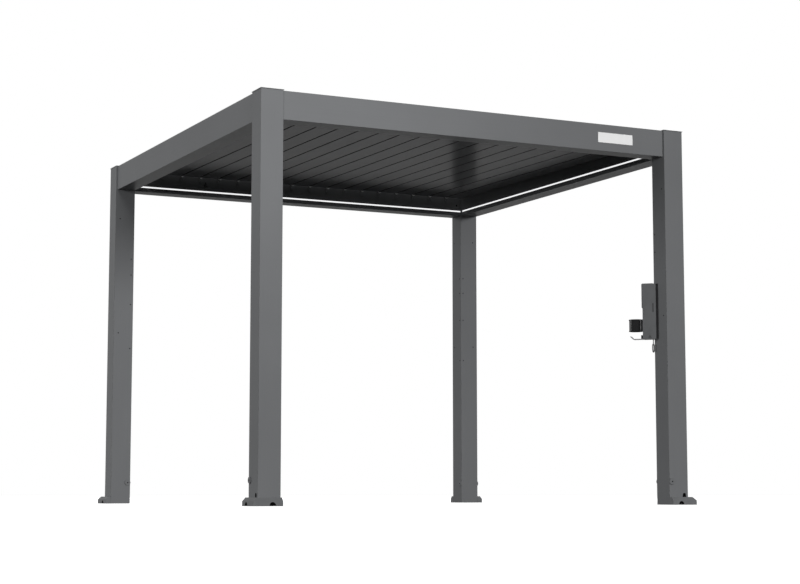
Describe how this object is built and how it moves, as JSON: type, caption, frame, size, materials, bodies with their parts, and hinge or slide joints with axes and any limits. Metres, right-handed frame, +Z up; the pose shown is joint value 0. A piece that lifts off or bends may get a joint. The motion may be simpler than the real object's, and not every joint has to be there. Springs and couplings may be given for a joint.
{
  "type": "louvered pergola",
  "caption": "Free-standing square pergola with hollow posts, gutter beams, a roof of turning louvre blades, light strips and a small accessory box on one post.",
  "frame": {"origin": "on the ground at the middle of the footprint", "axes": "+X to the right along the front beam, +Y to the rear, +Z up"},
  "size_m": [3.08, 3.08, 2.4629],
  "materials": {
    "frame coat": "satin powder coat",
    "louvre coat": "satin powder coat",
    "cap plastic": "matt",
    "cover plastic": "matt",
    "box plastic": "matt",
    "black plastic": "matt",
    "light diffuser": "frosted",
    "plate metal": "satin",
    "shelf metal": "satin",
    "eye metal": "bright",
    "bare aluminium": "mill"
  },
  "bodies": {
    "frame": {"front_left_post": "frame coat", "front_right_post": "frame coat", "rear_left_post": "frame coat", "rear_right_post": "frame coat", "post_caps": "cap plastic", "front_left_foot_cover": "cover plastic", "front_right_foot_cover": "cover plastic", "rear_left_foot_cover": "cover plastic", "rear_right_foot_cover": "cover plastic", "left_beam": "frame coat", "front_beam": "frame coat", "right_beam": "frame coat", "rear_beam": "frame coat", "light_strips": "light diffuser", "left_closing_ledge": "frame coat", "rear_pivot_clips": "black plastic", "front_pivot_clips": "black plastic", "blank_plate": "plate metal", "accessory_box": "box plastic", "accessory_box_panel": "box plastic", "cup_ring": "black plastic", "cup_shelf": "shelf metal", "hanging_eye": "eye metal", "post_plugs": "cap plastic"},
    "louvre_01": {"louvre_01": "louvre coat"},
    "louvre_02": {"louvre_02": "louvre coat"},
    "louvre_03": {"louvre_03": "louvre coat"},
    "louvre_04": {"louvre_04": "louvre coat"},
    "louvre_05": {"louvre_05": "louvre coat"},
    "louvre_06": {"louvre_06": "louvre coat"},
    "louvre_07": {"louvre_07": "louvre coat"},
    "louvre_08": {"louvre_08": "louvre coat"},
    "louvre_09": {"louvre_09": "louvre coat"},
    "louvre_10": {"louvre_10": "louvre coat"},
    "louvre_11": {"louvre_11": "louvre coat"},
    "louvre_12": {"louvre_12": "louvre coat"},
    "louvre_13": {"louvre_13": "louvre coat"},
    "louvre_14": {"louvre_14": "louvre coat"},
    "louvre_15": {"louvre_15": "louvre coat"},
    "louvre_16": {"louvre_16": "louvre coat"},
    "louvre_17": {"louvre_17": "louvre coat"},
    "louvre_18": {"louvre_18": "louvre coat"},
    "link": {"link_bar": "bare aluminium"}
  },
  "joints": [
    {"name": "louvre_01_pivot", "type": "hinge", "parent": "frame", "child": "louvre_01", "pos_m": [-1.2932, 1.3644, 2.4196], "axis": [0, -1, -0.0094], "range_deg": [0, 125]},
    {"name": "louvre_02_pivot", "type": "hinge", "parent": "frame", "child": "louvre_02", "pos_m": [-1.1453, 1.3644, 2.4196], "axis": [0, -1, -0.0094], "range_deg": [0, 125]},
    {"name": "louvre_03_pivot", "type": "hinge", "parent": "frame", "child": "louvre_03", "pos_m": [-0.9974, 1.3644, 2.4196], "axis": [0, -1, -0.0094], "range_deg": [0, 125]},
    {"name": "louvre_04_pivot", "type": "hinge", "parent": "frame", "child": "louvre_04", "pos_m": [-0.8495, 1.3644, 2.4196], "axis": [0, -1, -0.0094], "range_deg": [0, 125]},
    {"name": "louvre_05_pivot", "type": "hinge", "parent": "frame", "child": "louvre_05", "pos_m": [-0.7016, 1.3644, 2.4196], "axis": [0, -1, -0.0094], "range_deg": [0, 125]},
    {"name": "louvre_06_pivot", "type": "hinge", "parent": "frame", "child": "louvre_06", "pos_m": [-0.5537, 1.3644, 2.4196], "axis": [0, -1, -0.0094], "range_deg": [0, 125]},
    {"name": "louvre_07_pivot", "type": "hinge", "parent": "frame", "child": "louvre_07", "pos_m": [-0.4058, 1.3644, 2.4196], "axis": [0, -1, -0.0094], "range_deg": [0, 125]},
    {"name": "louvre_08_pivot", "type": "hinge", "parent": "frame", "child": "louvre_08", "pos_m": [-0.2579, 1.3644, 2.4196], "axis": [0, -1, -0.0094], "range_deg": [0, 125]},
    {"name": "louvre_09_pivot", "type": "hinge", "parent": "frame", "child": "louvre_09", "pos_m": [-0.11, 1.3644, 2.4196], "axis": [0, -1, -0.0094], "range_deg": [0, 125]},
    {"name": "louvre_10_pivot", "type": "hinge", "parent": "frame", "child": "louvre_10", "pos_m": [0.0379, 1.3644, 2.4196], "axis": [0, -1, -0.0094], "range_deg": [0, 125]},
    {"name": "louvre_11_pivot", "type": "hinge", "parent": "frame", "child": "louvre_11", "pos_m": [0.1858, 1.3644, 2.4196], "axis": [0, -1, -0.0094], "range_deg": [0, 125]},
    {"name": "louvre_12_pivot", "type": "hinge", "parent": "frame", "child": "louvre_12", "pos_m": [0.3337, 1.3644, 2.4196], "axis": [0, -1, -0.0094], "range_deg": [0, 125]},
    {"name": "louvre_13_pivot", "type": "hinge", "parent": "frame", "child": "louvre_13", "pos_m": [0.4816, 1.3644, 2.4196], "axis": [0, -1, -0.0094], "range_deg": [0, 125]},
    {"name": "louvre_14_pivot", "type": "hinge", "parent": "frame", "child": "louvre_14", "pos_m": [0.6295, 1.3644, 2.4196], "axis": [0, -1, -0.0094], "range_deg": [0, 125]},
    {"name": "louvre_15_pivot", "type": "hinge", "parent": "frame", "child": "louvre_15", "pos_m": [0.7774, 1.3644, 2.4196], "axis": [0, -1, -0.0094], "range_deg": [0, 125]},
    {"name": "louvre_16_pivot", "type": "hinge", "parent": "frame", "child": "louvre_16", "pos_m": [0.9253, 1.3644, 2.4196], "axis": [0, -1, -0.0094], "range_deg": [0, 125]},
    {"name": "louvre_17_pivot", "type": "hinge", "parent": "frame", "child": "louvre_17", "pos_m": [1.0732, 1.3644, 2.4196], "axis": [0, -1, -0.0094], "range_deg": [0, 125]},
    {"name": "louvre_18_pivot", "type": "hinge", "parent": "frame", "child": "louvre_18", "pos_m": [1.2211, 1.3644, 2.4196], "axis": [0, -1, -0.0094], "range_deg": [0, 125]},
    {"name": "link_pivot", "type": "hinge", "parent": "louvre_01", "child": "link", "pos_m": [-1.2432, 1.36422, 2.4386], "axis": [0, -1, -0.0094], "range_deg": [-125, 0]}
  ],
  "couplings": [
    {"joint": "louvre_02_pivot", "follows": "louvre_01_pivot", "ratio": 1},
    {"joint": "louvre_03_pivot", "follows": "louvre_01_pivot", "ratio": 1},
    {"joint": "louvre_04_pivot", "follows": "louvre_01_pivot", "ratio": 1},
    {"joint": "louvre_05_pivot", "follows": "louvre_01_pivot", "ratio": 1},
    {"joint": "louvre_06_pivot", "follows": "louvre_01_pivot", "ratio": 1},
    {"joint": "louvre_07_pivot", "follows": "louvre_01_pivot", "ratio": 1},
    {"joint": "louvre_08_pivot", "follows": "louvre_01_pivot", "ratio": 1},
    {"joint": "louvre_09_pivot", "follows": "louvre_01_pivot", "ratio": 1},
    {"joint": "louvre_10_pivot", "follows": "louvre_01_pivot", "ratio": 1},
    {"joint": "louvre_11_pivot", "follows": "louvre_01_pivot", "ratio": 1},
    {"joint": "louvre_12_pivot", "follows": "louvre_01_pivot", "ratio": 1},
    {"joint": "louvre_13_pivot", "follows": "louvre_01_pivot", "ratio": 1},
    {"joint": "louvre_14_pivot", "follows": "louvre_01_pivot", "ratio": 1},
    {"joint": "louvre_15_pivot", "follows": "louvre_01_pivot", "ratio": 1},
    {"joint": "louvre_16_pivot", "follows": "louvre_01_pivot", "ratio": 1},
    {"joint": "louvre_17_pivot", "follows": "louvre_01_pivot", "ratio": 1},
    {"joint": "louvre_18_pivot", "follows": "louvre_01_pivot", "ratio": 1},
    {"joint": "link_pivot", "follows": "louvre_01_pivot", "ratio": -1}
  ]
}
